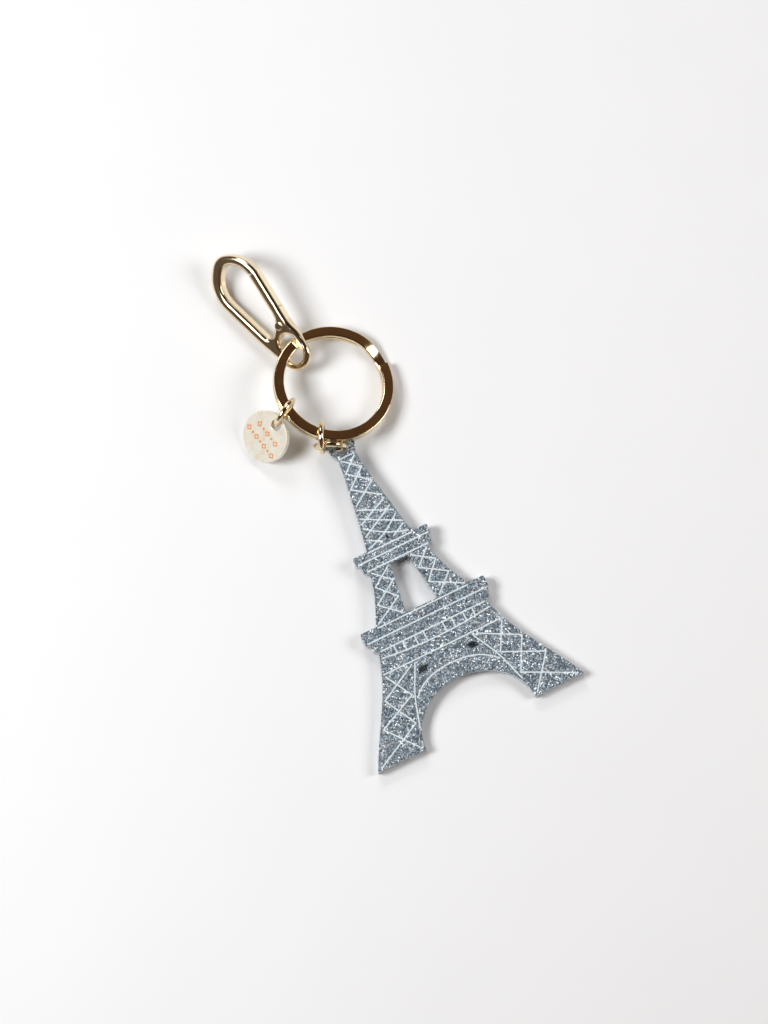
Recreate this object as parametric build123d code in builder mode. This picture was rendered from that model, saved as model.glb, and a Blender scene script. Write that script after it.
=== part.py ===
"""Keychain: a snap hook, a two-turn key ring, a round tag and a tower charm, lying on a table.

Units are millimetres. The charm points along Y, +Z is up, the table is z = 0, and the origin
is on the table under the middle of the whole chain.
"""
from build123d import *
from math import atan2, cos, degrees, pi, radians, sin
import os

# ---------------------------------------------------------------- driving dimensions

# where the middle of the charm's base line stands
base_y = -70.97

# charm: one laser-cut plate with a round lug
plate_thickness = 2.8
charm_half_base = 30.0
lug_y = 82.05
lug_radius = 3.7
lug_hole_radius = 1.75
lug_underside = 1.84
groove_width = 0.38
groove_depth = 0.35
paint_thickness = 0.33

# jump rings: round wire
ring_wire = 1.5
ring_outside = 9.0
ring_seam_gap = 0.12

# key ring: two turns of flat wire
key_ring_outside = 32.0
key_wire_width = 2.7
key_wire_thickness = 1.35
key_turn_pitch = 1.42
key_ramp_angle = 38.0
key_turn_end = -1.0

# tag
tag_radius = 6.9
tag_thickness = 1.4
tag_hole_radius = 1.45
tag_hole_from_centre = 4.75

# snap hook
hook_depth = 3.6
eye_depth = 2.2
hook_edge_radius = 0.95
hook_wire = 2.65
eye_x, eye_y, eye_radius = 0.3, 4.5, 4.5
eye_hole_length, eye_hole_width = 8.3, 5.1
spine_lean = radians(18.3)
spine_length = 22.0
opening_foot = 8.7
pivot_x, pivot_y = 1.15, 12.9
pin_radius = 0.55
gate_bore_radius = 0.60
rivet_head_radius = 1.15
rivet_head_height = 0.35
rivet_dimple_radius = 0.42
rivet_dimple_depth = 0.12
fork_slot = 1.6
tongue_thickness = 1.3
tongue_pocket = 0.74
seam_gap = 0.18
spring_wire = 0.2
spring_radius = 0.87
spring_turns = 2.0
spring_leg = 1.75
leg_overlap = 0.15


# ---------------------------------------------------------------- where each piece lies

def leaning_plane(origin, tilt, high_side, x_toward=0.0):
    """A plane raised by tilt degrees on the side that faces high_side degrees from +X."""
    t, h, a = radians(tilt), radians(high_side), radians(x_toward)
    normal = Vector(-sin(t) * cos(h), -sin(t) * sin(h), cos(t))
    return Plane(origin=origin, x_dir=level_with(normal, Vector(cos(a), sin(a), 0)), z_dir=normal)


def upright_plane(origin, facing, lean):
    """A standing plane whose normal faces the given heading and points up by lean degrees."""
    f, l = radians(facing), radians(lean)
    normal = Vector(cos(f) * cos(l), sin(f) * cos(l), sin(l))
    return Plane(origin=origin, x_dir=Vector(-sin(f), cos(f), 0), z_dir=normal)


def level_with(normal, direction):
    """The part of a direction that lies in the plane with this normal."""
    return (direction - normal * direction.dot(normal)).normalized()


def hook_plane(origin, heading, roll, pitch):
    """The hook's own plane: Y along the hook, its gate side raised by roll, its tip by pitch."""
    h, r, p = radians(heading), radians(roll), radians(pitch)
    along = Vector(-sin(h) * cos(p), cos(h) * cos(p), sin(p))
    level_x = Vector(cos(h), sin(h), 0)
    level_z = level_x.cross(along)
    x_dir = level_x * cos(r) + level_z * sin(r)
    return Plane(origin=origin, x_dir=x_dir, z_dir=x_dir.cross(along))


charm_tilt = degrees(atan2(lug_underside, lug_y))
charm_plane = Plane(
    origin=(0, base_y, 0),
    x_dir=(1, 0, 0),
    z_dir=(0, -sin(radians(charm_tilt)), cos(radians(charm_tilt))),
)
key_plane = leaning_plane((5.30, base_y + 97.84, 5.11), tilt=13.5, high_side=191.6)
upper_ring_plane = upright_plane((-3.88, base_y + 85.85, 7.44), facing=-25.2, lean=3.6)
lower_ring_plane = upright_plane((-2.60, base_y + 83.28, 4.50), facing=61.9, lean=1.8)
tag_ring_plane = upright_plane((-9.68, base_y + 96.12, 8.58), facing=-61.46, lean=-2.2)
tag_plane = leaning_plane((-16.53, base_y + 93.24, 4.745), tilt=37.05, high_side=2.53, x_toward=9.3)
hook = hook_plane((0.17, base_y + 105.12, 4.84), heading=3.85, roll=37.3, pitch=6.9)


# ---------------------------------------------------------------- snap hook

lean_up = (-sin(spine_lean), cos(spine_lean))
spine_start = (eye_x - eye_radius * cos(spine_lean), eye_y - eye_radius * sin(spine_lean))


def along_spine(start, run):
    return (start[0] + lean_up[0] * run, start[1] + lean_up[1] * run)


def into_opening(start, distance):
    return (start[0] + lean_up[1] * distance, start[1] - lean_up[0] * distance)


def bow_rim(start, side_radius, side_turn, crown_radius, crown_turn, end):
    """One rim of the bow: a wide arc off the spine, a tight one over the crown, one to the end."""
    side_arc = JernArc(start, lean_up, side_radius, -side_turn)
    crown = JernArc(side_arc @ 1, side_arc % 1, crown_radius, -crown_turn)
    TangentArc(crown @ 1, end, tangent=crown % 1)


def hook_outline():
    """The outside of the closed hook: spine, bow, gate side and the round eye."""
    shoulder = along_spine(spine_start, spine_length)
    Line(spine_start, shoulder)
    bow_rim(shoulder, 11.0, 70.5, 4.0, 57, (3.4, 28.2))
    Line((3.4, 28.2), (3.85, 13.5))
    Spline((3.85, 13.5), (4.8, 7.8), tangents=[(0.03, -1), (0, -1)])
    Line((4.8, 7.8), (4.8, eye_y))
    ThreePointArc((4.8, eye_y), (eye_x, 0), spine_start)


def bow_opening():
    """The opening between spine and gate, closed below by the bridge over the eye."""
    low = into_opening(along_spine(spine_start, spine_length), hook_wire)
    foot = into_opening(along_spine(spine_start, opening_foot), hook_wire)
    Line(foot, low)
    bow_rim(low, 7.6, 73, 2.6, 65, (0.5, 28.2))
    Line((0.5, 28.2), (0.95, 16.5))
    Spline((0.95, 16.5), (-0.5, 13.2), (-2.3, 11.6), tangents=[(0, -1), (-0.8, -0.55)])
    Spline((-2.3, 11.6), foot, tangents=[(-0.8, -0.55), lean_up])


def side_profile():
    """The hook seen from its side: full depth along the bow, slimmer at the eye."""
    deep, slim = hook_depth / 2, eye_depth / 2
    for side in (1, -1):
        Spline((5.5, side * slim), (13.5, side * deep), tangents=[(1, 0), (1, 0)])
        Line((5.5, side * slim), (-2, side * slim))
        Line((13.5, side * deep), (40, side * deep))
    Line((40, deep), (40, -deep))
    Line((-2, slim), (-2, -slim))


def is_rim(edge):
    """True for the edges round the outlines, false for corners and the folds across the faces."""
    direction = hook.to_local_coords(edge).tangent_at(0.5)
    across = edge.geom_type == GeomType.LINE and abs(direction.X) > 0.99
    return abs(direction.Z) < 0.9 and not across


def closed_hook():
    """Body and gate in one, before they are parted at the gate's seams."""
    with BuildPart() as blank:
        with BuildSketch(hook.offset(-hook_depth / 2)):
            with BuildLine():
                hook_outline()
            make_face()
            with BuildLine():
                bow_opening()
            make_face(mode=Mode.SUBTRACT)
            with Locations((eye_x, 2.0 + eye_hole_length / 2)):
                SlotOverall(eye_hole_length, eye_hole_width, rotation=90, mode=Mode.SUBTRACT)
        extrude(amount=hook_depth)
        side_plane = Plane(
            origin=hook.from_local_coords((-12, 0, 0)), x_dir=hook.y_dir, z_dir=hook.x_dir
        )
        with BuildSketch(side_plane):
            with BuildLine():
                side_profile()
            make_face()
        extrude(amount=20, mode=Mode.INTERSECT)
        fillet([e for e in blank.edges() if is_rim(e)], hook_edge_radius)
    return blank.part


def gate_window(gap):
    """The stretch of the hook that the gate fills, held off the nose and the fork by a gap."""
    Polygon(
        (-1.5, 14.1 + gap), (5.5, 18.45 + gap), (5.5, 27.75 - gap), (-1.0, 29.05 - gap),
        align=None,
    )


hook_blank = closed_hook()

with BuildPart() as snap_hook_body:
    add(hook_blank)
    with BuildSketch(hook.offset(-hook_depth)):
        gate_window(0)
    extrude(amount=2 * hook_depth, mode=Mode.SUBTRACT)
    with BuildSketch(hook.offset(-fork_slot / 2)):
        with Locations((pivot_x, pivot_y)):
            Circle(1.9)
        Polygon((-2.2, pivot_y), (-2.2, 19), (3.0, 19), (2.75, pivot_y), align=None)
    extrude(amount=fork_slot, mode=Mode.SUBTRACT)
    with BuildSketch(hook.offset(-hook_depth)):
        with Locations((pivot_x, pivot_y)):
            Circle(pin_radius)
    extrude(amount=2 * hook_depth, mode=Mode.SUBTRACT)
snap_hook_body.part.label = "snap_hook_body"

with BuildPart() as gate_tongue:
    with BuildSketch(hook.offset(-tongue_thickness / 2)):
        with Locations((pivot_x, pivot_y)):
            Circle(1.7)
        Polygon((-0.6, pivot_y), (0.95, 17.5), (2.85, 19), (2.5, pivot_y), align=None)
    extrude(amount=tongue_thickness)
    with BuildSketch(hook.offset(-tongue_pocket / 2)):
        with Locations((pivot_x, pivot_y)):
            Circle(2.5)
    extrude(amount=tongue_pocket, mode=Mode.SUBTRACT)
    add(hook_blank, mode=Mode.INTERSECT)

with BuildPart() as snap_hook_gate:
    add(hook_blank)
    with BuildSketch(hook.offset(-hook_depth)):
        gate_window(seam_gap)
    extrude(amount=2 * hook_depth, mode=Mode.INTERSECT)
    add(gate_tongue)
    with BuildSketch(hook.offset(-hook_depth)):
        with Locations((pivot_x, pivot_y)):
            Circle(gate_bore_radius)
    extrude(amount=2 * hook_depth, mode=Mode.SUBTRACT)
snap_hook_gate.part.label = "snap_hook_gate"

# the outer faces of the fork, where the rivet's heads sit
cheek_face = hook_depth / 2
with BuildPart() as gate_rivet:
    with BuildSketch(hook.offset(-cheek_face)):
        with Locations((pivot_x, pivot_y)):
            Circle(pin_radius)
    extrude(amount=2 * cheek_face)
    for side in (1, -1):
        with BuildSketch(hook.offset(side * cheek_face)):
            with Locations((pivot_x, pivot_y)):
                Circle(rivet_head_radius)
        extrude(amount=side * rivet_head_height)
    head_rims = [
        e for e in gate_rivet.edges().filter_by(GeomType.CIRCLE)
        if abs(abs(hook.to_local_coords(e).center().Z) - cheek_face - rivet_head_height) < 0.01
    ]
    fillet(head_rims, 0.28)
    for side in (1, -1):
        with BuildSketch(hook.offset(side * (cheek_face + rivet_head_height))):
            with Locations((pivot_x, pivot_y)):
                Circle(rivet_dimple_radius)
        extrude(amount=-side * rivet_dimple_depth, mode=Mode.SUBTRACT)
gate_rivet.part.label = "gate_rivet"

coil_pitch = spring_wire * 1.25
coil_height = coil_pitch * spring_turns
coil_start = hook.from_local_coords((pivot_x, pivot_y, -coil_height / 2))
with BuildPart() as gate_spring:
    with BuildLine() as coil:
        Helix(coil_pitch, coil_height, spring_radius, center=coil_start, direction=hook.z_dir)
    with BuildSketch(Plane(origin=coil.wire() @ 0, z_dir=coil.wire() % 0)):
        Circle(spring_wire / 2)
    sweep(path=coil.wire())
    for end in (0, 1):
        toward = level_with(hook.z_dir, coil.wire() % end * (2 * end - 1))
        root = coil.wire() @ end - toward * leg_overlap
        with BuildSketch(Plane(origin=root, z_dir=toward)):
            Circle(spring_wire / 2)
        extrude(amount=spring_leg)
gate_spring.part.label = "gate_spring"


# ---------------------------------------------------------------- key ring

key_radius = (key_ring_outside - key_wire_width) / 2
turn_arc = 360.0 - key_ramp_angle


def flat_wire(plane):
    """The flat wire's section, with its corners rolled round."""
    with BuildSketch(plane) as section:
        RectangleRounded(key_wire_width, key_wire_thickness, 0.3)
    return section.sketch


def wire_station(angle, height):
    """A plane across the wire: X outward, Y up, at an angle round the ring."""
    a = radians(angle)
    out = key_plane.x_dir * cos(a) + key_plane.y_dir * sin(a)
    forward = key_plane.y_dir * cos(a) - key_plane.x_dir * sin(a)
    middle = key_plane.origin + out * key_radius + key_plane.z_dir * height
    return Plane(origin=middle, x_dir=out, z_dir=-forward)


half_pitch = key_turn_pitch / 2
key_axis = Axis(key_plane.origin, key_plane.z_dir)
with BuildPart() as split_ring:
    for side in (1, -1):
        add(flat_wire(wire_station(key_turn_end, side * half_pitch)))
        revolve(axis=key_axis, revolution_arc=-turn_arc)
    for step in range(7):
        share = step / 6
        height = half_pitch * cos(pi * share)
        add(flat_wire(wire_station(key_turn_end + key_ramp_angle * (1 - share), height)))
    loft()
split_ring.part.label = "split_ring"


# ---------------------------------------------------------------- jump rings

def jump_ring(plane, seam_at):
    """A round-wire ring with its ends butted together at seam_at degrees."""
    radius = (ring_outside - ring_wire) / 2
    seam = degrees(ring_seam_gap / radius)
    a = radians(seam_at + seam / 2)
    out = plane.x_dir * cos(a) + plane.y_dir * sin(a)
    with BuildPart() as ring:
        with BuildSketch(
            Plane(
                origin=plane.origin + out * radius,
                x_dir=out,
                z_dir=plane.x_dir * sin(a) - plane.y_dir * cos(a),
            )
        ):
            Circle(ring_wire / 2)
        revolve(axis=Axis(plane.origin, plane.z_dir), revolution_arc=360 - seam)
    return ring.part


charm_jump_ring_upper = jump_ring(upper_ring_plane, seam_at=150)
charm_jump_ring_upper.label = "charm_jump_ring_upper"
charm_jump_ring_lower = jump_ring(lower_ring_plane, seam_at=-60)
charm_jump_ring_lower.label = "charm_jump_ring_lower"
tag_jump_ring = jump_ring(tag_ring_plane, seam_at=140)
tag_jump_ring.label = "tag_jump_ring"


# ---------------------------------------------------------------- tag

with BuildPart() as tag_disc:
    with BuildSketch(tag_plane.offset(-tag_thickness / 2)):
        Circle(tag_radius)
        with Locations((tag_hole_from_centre, 0)):
            Circle(tag_hole_radius, mode=Mode.SUBTRACT)
    extrude(amount=tag_thickness)
    fillet(tag_disc.edges().filter_by(GeomType.CIRCLE), 0.2)
tag_disc.part.label = "tag_disc"

# the ornament: two rows of lozenges and dots across the tag, below the hole
print_thickness = 0.06
lozenge = 1.25
lozenge_inside = 0.6
dot_radius = 0.36
with BuildPart() as tag_print:
    with BuildSketch(tag_plane.offset(tag_thickness / 2)):
        for row_x, count, pitch in ((1.1, 5, 1.75), (-2.0, 7, 1.65)):
            for place in range(count):
                with Locations((row_x, (place - (count - 1) / 2) * pitch)):
                    if place % 2:
                        Circle(dot_radius)
                    else:
                        Rectangle(lozenge, lozenge, rotation=45)
                        Rectangle(lozenge_inside, lozenge_inside, rotation=45, mode=Mode.SUBTRACT)
    extrude(amount=print_thickness)
tag_print.part.label = "tag_print"


# ---------------------------------------------------------------- tower charm

def plate_outline():
    """Right half of the tower's outline, from the arch foot up to the lug, then its mirror."""
    arch_half, arch_rise = 15.9, 13.5
    with BuildLine() as half:
        EllipticalCenterArc((0, 0), arch_half, arch_rise, arc_size=90)
        Line((arch_half, 0), (charm_half_base, 0))
        Spline((charm_half_base, 0), (24.6, 9.7), (17.7, 22.6), (15.8, 28.4))
        Polyline((15.8, 28.4), (16.9, 29.2), (16.9, 31.3), (18.0, 31.3), (18.0, 34.9), (13.4, 34.9))
        Spline((13.4, 34.9), (11.0, 40.0), (9.3, 44.6), (8.5, 48.5))
        Polyline((8.5, 48.5), (9.9, 49.0), (9.9, 51.2), (10.8, 51.2), (10.8, 53.8), (6.6, 53.8))
        Spline((6.6, 53.8), (5.3, 60.5), (3.9, 69.0), (3.0, 74.5), (2.55, 79.5))
        Line((2.55, 79.5), (0, 79.5))
        Line((0, 79.5), (0, arch_rise))
    make_face(half.edges())
    mirror(about=Plane.YZ)
    with Locations((0, lug_y)):
        Circle(lug_radius)


def plate_openings():
    """Window between the upper legs, two spandrel holes, one spark hole and the lug's hole."""
    Polygon((-4.6, 34.9), (4.6, 34.9), (2.6, 48.5), (-2.6, 48.5), align=None)
    for side in (1, -1):
        spandrel = ((8.9, 18.6), (7.9, 20.3), (5.6, 20.2), (6.5, 18.8))
        Polygon(*[(side * x, y) for x, y in spandrel], align=None)
    with Locations((0, 55.3)):
        Ellipse(0.4, 0.65)
    with Locations((0, lug_y)):
        Circle(lug_hole_radius)


def charm_face():
    """The plate seen from above."""
    with BuildSketch(Plane.XY) as face:
        plate_outline()
        with BuildSketch(Plane.XY, mode=Mode.SUBTRACT):
            plate_openings()
        steps = [
            v for v in face.vertices()
            if abs(v.X) > 9.7 and (48.9 < v.Y < 54 or 29 < v.Y < 35) and not 13 < abs(v.X) < 14
        ]
        fillet(steps, 0.42)
    return face.sketch


def stroke(*points, bent=False):
    """One engraved stroke through the points, smoothly bent or straight between them."""
    with BuildLine() as path:
        if bent:
            Spline(*points)
        else:
            Polyline(*points)
    trace(path.line, line_width=groove_width)


def both_sides(*points, bent=False):
    """A stroke and its mirror image."""
    for side in (1, -1):
        stroke(*[(side * x, y) for x, y in points], bent=bent)


def level_stroke(y, half_width):
    stroke((-half_width, y), (half_width, y))


def crossed(left_rail, right_rail):
    """Two zigzags between a pair of rails, so that each bay holds one cross."""
    bays = range(len(left_rail))
    stroke(*[(left_rail, right_rail)[bay % 2][bay] for bay in bays])
    stroke(*[(right_rail, left_rail)[bay % 2][bay] for bay in bays])


def mirrored(points):
    return [(-x, y) for x, y in points]


def spire_bracing():
    rail = [(2.05, 78.7), (2.3, 75.0), (3.1, 70.6), (3.85, 65.9)]
    crossed(mirrored(rail), rail)


def spire_lattice():
    both_sides((4.0, 65.0), (-4.8, 60.9))
    both_sides((4.45, 62.55), (-5.25, 57.5))
    both_sides((4.8, 60.0), (0, 56.6), (-5.9, 54.35), bent=True)
    both_sides((5.4, 56.7), (1.5, 54.6))


def upper_leg_bracing():
    outer = [(8.0, 48.2), (8.8, 44.4), (10.4, 39.9), (12.6, 35.2)]
    inner = [(3.2, 48.2), (3.75, 44.2), (4.4, 39.7), (5.2, 35.2)]
    crossed(inner, outer)
    crossed(mirrored(inner), mirrored(outer))


def lower_leg_bracing():
    outer = [(17.0, 21.9), (20.0, 16.2), (23.7, 9.5), (28.8, 0.6)]
    inner = [(9.3, 21.9), (12.9, 14.6), (15.3, 7.4), (16.7, 0.6)]
    crossed(inner, outer)
    crossed(mirrored(inner), mirrored(outer))


def leg_inner_line():
    both_sides((8.35, 22.1), (10.15, 18.5), (12.0, 14.8), (14.3, 7.8), (14.95, 5.7), bent=True)


def arch_line():
    stroke((-12.0, 13.1), (-8.0, 16.2), (0, 17.75), (8.0, 16.2), (12.0, 13.1), bent=True)


def platform_lines():
    level_stroke(22.6, 17.3)
    level_stroke(31.7, 17.5)
    level_stroke(34.4, 13.2)
    level_stroke(49.0, 8.9)
    level_stroke(51.6, 10.3)
    level_stroke(53.5, 6.4)
    level_stroke(79.2, 2.2)


def frieze():
    """A level line over a shallow arc, joined by short uprights."""
    arc_half, arc_ends, arc_middle = 15.8, 26.7, 25.6
    level_stroke(28.5, 15.3)
    with BuildLine() as path:
        ThreePointArc((-arc_half, arc_ends), (0, arc_middle), (arc_half, arc_ends))
    trace(path.line, line_width=groove_width)
    for x in (2.8, 5.4, 8.75, 11.4):
        arc_y = arc_middle + (arc_ends - arc_middle) * (x / arc_half) ** 2
        both_sides((x, 28.5), (x, arc_y))


paint_drawings = {
    "paint_platform_lines": platform_lines,
    "paint_frieze": frieze,
    "paint_spire_bracing": spire_bracing,
    "paint_spire_lattice": spire_lattice,
    "paint_upper_leg_bracing": upper_leg_bracing,
    "paint_leg_inner_lines": leg_inner_line,
    "paint_arch_line": arch_line,
    "paint_lower_leg_bracing": lower_leg_bracing,
}
groove_floor = charm_plane.offset(plate_thickness - groove_depth)

with BuildPart() as tower_charm:
    with BuildSketch(charm_plane):
        add(charm_face())
    extrude(amount=plate_thickness)
    for drawing in paint_drawings.values():
        with BuildSketch(groove_floor):
            drawing()
        extrude(amount=groove_depth, mode=Mode.SUBTRACT)
tower_charm.part.label = "tower_charm"

paints = []
for name, drawing in paint_drawings.items():
    with BuildPart() as paint:
        with BuildSketch(groove_floor):
            drawing()
        extrude(amount=paint_thickness)
    paint.part.label = name
    paints.append(paint.part)


# ---------------------------------------------------------------- files

os.makedirs("parts", exist_ok=True)
pieces = [
    snap_hook_body.part, snap_hook_gate.part, gate_rivet.part, gate_spring.part,
    split_ring.part, tag_jump_ring, charm_jump_ring_upper, charm_jump_ring_lower,
    tag_disc.part, tag_print.part, tower_charm.part, *paints,
]
for piece in pieces:
    export_step(piece, f"parts/{piece.label}.step")
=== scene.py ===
from math import cos, radians, sin

import bpy
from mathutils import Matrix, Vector


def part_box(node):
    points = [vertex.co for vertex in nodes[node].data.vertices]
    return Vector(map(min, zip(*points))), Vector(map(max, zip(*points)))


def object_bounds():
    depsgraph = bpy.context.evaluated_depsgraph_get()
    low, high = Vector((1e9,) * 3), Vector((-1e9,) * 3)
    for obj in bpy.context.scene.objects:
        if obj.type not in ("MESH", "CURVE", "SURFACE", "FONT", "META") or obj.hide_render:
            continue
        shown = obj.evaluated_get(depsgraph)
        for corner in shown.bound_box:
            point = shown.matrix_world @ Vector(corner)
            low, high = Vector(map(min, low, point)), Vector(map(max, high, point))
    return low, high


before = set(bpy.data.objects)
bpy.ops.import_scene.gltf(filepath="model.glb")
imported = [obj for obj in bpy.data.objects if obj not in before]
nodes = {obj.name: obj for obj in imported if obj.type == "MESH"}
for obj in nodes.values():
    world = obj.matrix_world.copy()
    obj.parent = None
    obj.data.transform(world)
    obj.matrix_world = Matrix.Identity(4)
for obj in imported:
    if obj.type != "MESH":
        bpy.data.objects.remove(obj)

# Lengths are in metres and angles in degrees.
mm = 0.001
cad_low, cad_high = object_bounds()

# The photograph's view: its direction, how wide it is at the chain, the camera's distance, and the
# point at the picture's middle, measured from the middle of the charm's base line.
charm_low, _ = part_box("tower_charm")
base_middle = Vector((0, charm_low.y, 0))
view_azimuth = -26.4
view_elevation = 77.7
view_width = 201.6 * mm
view_distance = 2.5
look_at = base_middle + Vector((2.3, 61.7, 2.8)) * mm

picture_width, picture_height = 768, 1024
sensor_size_in_mm = 36
nearest_seen = 0.01

# The floor is a square that reaches this far each way, just clear of the chain's lowest point.
floor_reach = 3.0
floor_gap = 0.02 * mm


# ---------------------------------------------------------------- node helpers

def new_material(name):
    """A node material, with its tree and its Principled shader."""
    material = bpy.data.materials.new(name)
    material.use_nodes = True
    tree = material.node_tree
    return material, tree, tree.nodes["Principled BSDF"]


def add_node(tree, kind, **properties):
    """A new node of a kind, with its properties set."""
    node = tree.nodes.new(kind)
    for name, value in properties.items():
        setattr(node, name, value)
    return node


def link(tree, source, target):
    tree.links.new(source, target)


def feed(tree, socket, value):
    """Links a socket to another node's output, or sets it to a plain colour or vector."""
    if isinstance(value, tuple):
        lacking = len(socket.default_value) - len(value)
        socket.default_value = value + (1,) * lacking
    else:
        link(tree, value, socket)


def place(tree):
    """The position on the piece in its own coordinates, in metres."""
    return add_node(tree, "ShaderNodeTexCoord").outputs["Object"]


def surface_normal(tree):
    return add_node(tree, "ShaderNodeNewGeometry").outputs["Normal"]


def noise(tree, size, detail, distortion=0.0):
    """A grey noise whose blotches are about size metres across."""
    texture = add_node(tree, "ShaderNodeTexNoise")
    texture.inputs["Scale"].default_value = 1 / size
    texture.inputs["Detail"].default_value = detail
    texture.inputs["Distortion"].default_value = distortion
    link(tree, place(tree), texture.inputs["Vector"])
    return texture.outputs["Fac"]


def ramp(tree, value, *stops, smooth=True):
    """Colours at positions along 0 to 1, with eased or straight steps between them."""
    node = add_node(tree, "ShaderNodeValToRGB")
    node.color_ramp.interpolation = "EASE" if smooth else "LINEAR"
    marks = node.color_ramp.elements
    while len(marks) < len(stops):
        marks.new(0.5)
    for mark, (position, colour) in zip(marks, stops):
        mark.position = position
        mark.color = (*colour, 1)
    link(tree, value, node.inputs["Fac"])
    return node.outputs["Color"]


def span(tree, value, low, high, from_low=0.0, from_high=1.0):
    """A value carried from one range to another, clamped."""
    node = add_node(tree, "ShaderNodeMapRange")
    node.inputs["From Min"].default_value = from_low
    node.inputs["From Max"].default_value = from_high
    node.inputs["To Min"].default_value = low
    node.inputs["To Max"].default_value = high
    link(tree, value, node.inputs["Value"])
    return node.outputs["Result"]


def add_values(tree, a, b):
    node = add_node(tree, "ShaderNodeMath", operation="ADD")
    link(tree, a, node.inputs[0])
    link(tree, b, node.inputs[1])
    return node.outputs["Value"]


def vectors(tree, operation, a, b=None, scale=None):
    """The result of a vector operation on a and, where it needs them, b or a scale."""
    node = add_node(tree, "ShaderNodeVectorMath", operation=operation)
    feed(tree, node.inputs[0], a)
    if b is not None:
        feed(tree, node.inputs[1], b)
    if scale is not None:
        node.inputs["Scale"].default_value = scale
    return node.outputs["Vector"]


def blend(tree, share, a, b):
    """Colour a where share is 0 and b where it is 1."""
    node = add_node(tree, "ShaderNodeMix", data_type="RGBA")
    # The node's number, vector and colour sockets share their names, so these go by their places.
    factor, colour_a, colour_b = node.inputs[0], node.inputs[6], node.inputs[7]
    mixed_colour = node.outputs[2]
    link(tree, share, factor)
    feed(tree, colour_a, a)
    feed(tree, colour_b, b)
    return mixed_colour


def bump(tree, height, depth, under=None):
    """A bump whose height of 0 to 1 stands for depth metres, on top of another one if given."""
    node = add_node(tree, "ShaderNodeBump")
    node.inputs["Distance"].default_value = depth
    link(tree, height, node.inputs["Height"])
    if under is not None:
        link(tree, under, node.inputs["Normal"])
    return node.outputs["Normal"]


# ---------------------------------------------------------------- materials

def plated_gold(name, colour, deep_colour, roughness, wave_length, wave_depth):
    """Polished pale gold plating: slight cloudiness, rubbed edges and a soft waviness."""
    material, tree, shader = new_material(name)
    clouds = noise(tree, 6 * mm, detail=4)
    specks = noise(tree, 0.25 * mm, detail=2)
    edge = add_node(tree, "ShaderNodeNewGeometry").outputs["Pointiness"]
    rubbed = span(tree, edge, 0, 1, from_low=0.50, from_high=0.56)
    tone = blend(tree, clouds, deep_colour, colour)
    paler = tuple(min(1.0, c * 1.08 + 0.02) for c in colour)
    link(tree, blend(tree, rubbed, tone, paler), shader.inputs["Base Color"])
    speck_shine = span(tree, specks, roughness * 0.7, roughness * 1.5)
    cloud_shine = span(tree, clouds, 0, roughness * 0.5)
    link(tree, add_values(tree, speck_shine, cloud_shine), shader.inputs["Roughness"])
    waves = bump(tree, noise(tree, wave_length, detail=1), wave_depth)
    link(tree, bump(tree, specks, 0.0006 * mm, under=waves), shader.inputs["Normal"])
    shader.inputs["Metallic"].default_value = 1.0
    return material


def spring_steel():
    """Drawn steel wire with a fine dull grain."""
    material, tree, shader = new_material("spring_steel")
    grain = noise(tree, 0.05 * mm, detail=2)
    link(tree, blend(tree, grain, (0.42, 0.42, 0.41), (0.62, 0.62, 0.60)), shader.inputs["Base Color"])
    link(tree, span(tree, grain, 0.25, 0.45), shader.inputs["Roughness"])
    link(tree, bump(tree, grain, 0.002 * mm), shader.inputs["Normal"])
    shader.inputs["Metallic"].default_value = 1.0
    return material


def pearl_enamel():
    """Cream enamel with soft pearly clouds and a clear gloss."""
    material, tree, shader = new_material("pearl_enamel")
    clouds = noise(tree, 3.2 * mm, detail=5, distortion=1.4)
    streaks = noise(tree, 0.9 * mm, detail=4, distortion=2.2)
    cream = ramp(
        tree, clouds,
        (0.25, (0.74, 0.67, 0.53)), (0.5, (0.82, 0.78, 0.67)), (0.75, (0.87, 0.85, 0.78)),
    )
    pearl = span(tree, streaks, 0, 0.35, from_low=0.45, from_high=0.7)
    link(tree, blend(tree, pearl, cream, (0.91, 0.91, 0.86)), shader.inputs["Base Color"])
    link(tree, span(tree, streaks, 0.22, 0.38), shader.inputs["Roughness"])
    link(tree, span(tree, streaks, 0.05, 0.28), shader.inputs["Metallic"])
    link(tree, bump(tree, streaks, 0.004 * mm), shader.inputs["Normal"])
    shader.inputs["Coat Weight"].default_value = 0.6
    shader.inputs["Coat Roughness"].default_value = 0.08
    return material


def orange_ink():
    """Screen-printed orange ink, a little uneven."""
    material, tree, shader = new_material("orange_ink")
    grain = noise(tree, 0.12 * mm, detail=3)
    orange = ramp(
        tree, grain,
        (0.3, (0.70, 0.27, 0.08)), (0.6, (0.80, 0.36, 0.13)), (0.85, (0.88, 0.52, 0.28)),
    )
    link(tree, orange, shader.inputs["Base Color"])
    link(tree, span(tree, grain, 0.35, 0.55), shader.inputs["Roughness"])
    link(tree, bump(tree, grain, 0.006 * mm), shader.inputs["Normal"])
    return material


def flake_layer(tree, size, tilt):
    """Glitter flakes of one size: a random number for each flake, and its tilted normal."""
    flakes = add_node(tree, "ShaderNodeTexVoronoi")
    flakes.inputs["Scale"].default_value = 1 / size
    link(tree, place(tree), flakes.inputs["Vector"])
    split = add_node(tree, "ShaderNodeSeparateColor")
    link(tree, flakes.outputs["Color"], split.inputs["Color"])
    lean = vectors(tree, "SUBTRACT", flakes.outputs["Color"], (0.5, 0.5, 0.5))
    lean = vectors(tree, "SCALE", lean, scale=tilt)
    facing = vectors(tree, "ADD", surface_normal(tree), lean)
    return split.outputs["Red"], vectors(tree, "NORMALIZE", facing)


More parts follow.
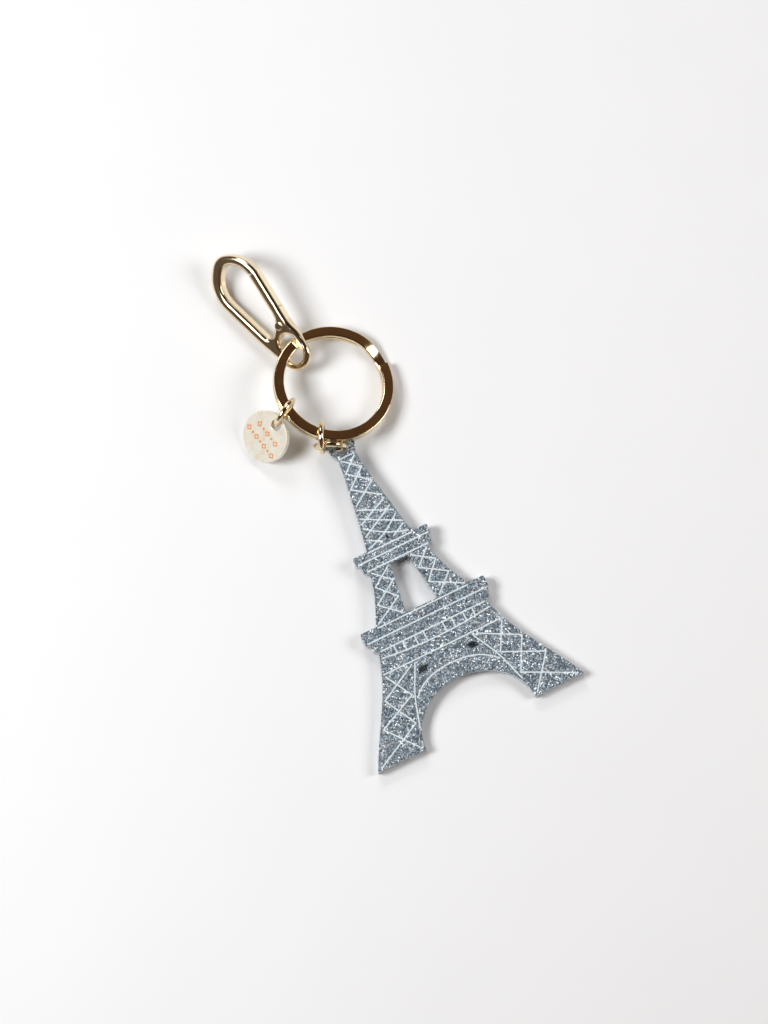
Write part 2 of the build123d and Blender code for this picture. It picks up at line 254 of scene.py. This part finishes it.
def glitter_acrylic():
    """Blue-grey cast acrylic full of silver flakes in random tilts, under a clear polished face."""
    material, tree, shader = new_material("glitter_acrylic")
    chance, facing = flake_layer(tree, 0.36 * mm, tilt=1.1)
    fine_chance, fine_facing = flake_layer(tree, 0.2 * mm, tilt=0.8)
    flake_tone = ramp(
        tree, chance,
        (0.0, (0.035, 0.055, 0.075)), (0.35, (0.12, 0.18, 0.23)), (0.60, (0.30, 0.39, 0.47)),
        (0.78, (0.64, 0.74, 0.82)), (0.88, (1.0, 1.0, 1.0)), smooth=False,
    )
    fine_tone = ramp(
        tree, fine_chance,
        (0.0, (0.06, 0.09, 0.12)), (0.6, (0.26, 0.35, 0.43)), (0.9, (0.78, 0.86, 0.93)), smooth=False,
    )
    clouds = noise(tree, 7 * mm, detail=2)
    fine_share = span(tree, clouds, 0.25, 0.5)
    link(tree, blend(tree, fine_share, flake_tone, fine_tone), shader.inputs["Base Color"])
    link(tree, span(tree, chance, 0.45, 0.9), shader.inputs["Metallic"])
    link(tree, span(tree, fine_chance, 0.2, 0.45), shader.inputs["Roughness"])
    both_facings = vectors(tree, "ADD", facing, fine_facing)
    link(tree, vectors(tree, "NORMALIZE", both_facings), shader.inputs["Normal"])
    shader.inputs["Coat Weight"].default_value = 1.0
    shader.inputs["Coat Roughness"].default_value = 0.04
    return material


def line_paint():
    """Icy white paint wiped into the engraving, thinner and bluer here and there."""
    material, tree, shader = new_material("line_paint")
    grain = noise(tree, 0.3 * mm, detail=4)
    icy = ramp(
        tree, grain,
        (0.25, (0.58, 0.69, 0.75)), (0.5, (0.74, 0.84, 0.88)), (0.75, (0.86, 0.93, 0.96)),
    )
    link(tree, icy, shader.inputs["Base Color"])
    link(tree, span(tree, grain, 0.5, 0.75), shader.inputs["Roughness"])
    link(tree, bump(tree, grain, 0.03 * mm), shader.inputs["Normal"])
    return material


def pale_floor():
    """A matt, nearly white floor with hardly visible clouds."""
    material, tree, shader = new_material("pale_floor")
    clouds = noise(tree, 30 * mm, detail=2)
    link(tree, blend(tree, clouds, (0.92, 0.935, 0.95), (0.94, 0.955, 0.97)), shader.inputs["Base Color"])
    shader.inputs["Roughness"].default_value = 0.9
    shader.inputs["Specular IOR Level"].default_value = 0.1
    return material


def paint_node(name, material):
    """Gives a CAD node one material on all its faces."""
    mesh = nodes[name].data
    mesh.materials.clear()
    mesh.materials.append(material)


hook_gold = plated_gold(
    "hook_gold", colour=(0.86, 0.74, 0.53), deep_colour=(0.74, 0.60, 0.40),
    roughness=0.10, wave_length=2.5 * mm, wave_depth=0.03 * mm,
)
ring_gold = plated_gold(
    "ring_gold", colour=(0.83, 0.69, 0.46), deep_colour=(0.72, 0.56, 0.34),
    roughness=0.07, wave_length=9.0 * mm, wave_depth=0.14 * mm,
)
steel = spring_steel()
enamel = pearl_enamel()
ink = orange_ink()
acrylic = glitter_acrylic()
paint = line_paint()

# Every node that isn't named here is a part of the charm's painted drawing.
finishes = {
    "snap_hook_body": hook_gold, "snap_hook_gate": hook_gold, "gate_rivet": hook_gold,
    "gate_spring": steel, "split_ring": ring_gold, "tag_jump_ring": ring_gold,
    "charm_jump_ring_upper": ring_gold, "charm_jump_ring_lower": ring_gold,
    "tag_disc": enamel, "tag_print": ink, "tower_charm": acrylic,
}
for node_name in nodes:
    paint_node(node_name, finishes.get(node_name, paint))


# ---------------------------------------------------------------- floor, light and camera

def add_to_scene(name, data):
    thing = bpy.data.objects.new(name, data)
    bpy.context.scene.collection.objects.link(thing)
    return thing


def aim_at_chain(thing, azimuth, elevation, distance):
    """Puts a light or the camera in a direction from the view's middle, facing that middle."""
    a, e = radians(azimuth), radians(elevation)
    out = Vector((sin(a) * cos(e), -cos(a) * cos(e), sin(e)))
    thing.location = look_at + out * distance
    thing.rotation_mode = "QUATERNION"
    thing.rotation_quaternion = (-out).to_track_quat("-Z", "Y")


def make_floor():
    """The pale square under the chain."""
    mesh = bpy.data.meshes.new("floor")
    corners = [
        (-floor_reach, -floor_reach, 0), (floor_reach, -floor_reach, 0),
        (floor_reach, floor_reach, 0), (-floor_reach, floor_reach, 0),
    ]
    mesh.from_pydata(corners, [], [(0, 1, 2, 3)])
    mesh.materials.append(pale_floor())
    floor = add_to_scene("floor", mesh)
    floor.location.z = cad_low.z - floor_gap


def soft_light(name, azimuth, elevation, distance, size, power):
    """A square soft box aimed at the middle of the view."""
    data = bpy.data.lights.new(name, "AREA")
    data.shape = "SQUARE"
    data.size = size
    data.energy = power
    aim_at_chain(add_to_scene(name, data), azimuth, elevation, distance)


def studio_sky():
    """A plain studio: pale at the floor's height, brown walls above it and a nearly black ceiling."""
    world = bpy.data.worlds.new("studio")
    bpy.context.scene.world = world
    world.use_nodes = True
    tree = world.node_tree
    background = tree.nodes["Background"]
    split = add_node(tree, "ShaderNodeSeparateXYZ")
    link(tree, add_node(tree, "ShaderNodeTexCoord").outputs["Generated"], split.inputs["Vector"])
    height = split.outputs["Z"]
    sky = ramp(
        tree, height,
        (0.0, (0.60, 0.56, 0.50)), (0.16, (0.20, 0.16, 0.13)), (0.45, (0.07, 0.048, 0.034)),
        (0.78, (0.105, 0.056, 0.03)), (0.87, (0.025, 0.016, 0.012)), (1.0, (0.015, 0.012, 0.011)),
    )
    link(tree, sky, background.inputs["Color"])
    background.inputs["Strength"].default_value = 1.0


def make_camera():
    """A long lens whose picture is view_width wide at the chain."""
    data = bpy.data.cameras.new("camera")
    data.sensor_width = sensor_size_in_mm
    # The sensor's width spans the picture's longer side, which is its height.
    view_height = view_width * picture_height / picture_width
    data.lens = data.sensor_width * view_distance / view_height
    data.clip_start = nearest_seen
    camera = add_to_scene("camera", data)
    aim_at_chain(camera, view_azimuth, view_elevation, view_distance)
    bpy.context.scene.camera = camera


make_floor()
soft_light("key_light", azimuth=-110, elevation=48, distance=0.8, size=0.30, power=4.9)
soft_light("fill_light", azimuth=70, elevation=40, distance=0.9, size=0.40, power=3.0)
soft_light("back_light", azimuth=170, elevation=38, distance=0.9, size=0.30, power=2.0)
studio_sky()
make_camera()
bpy.context.scene.view_settings.view_transform = "Standard"
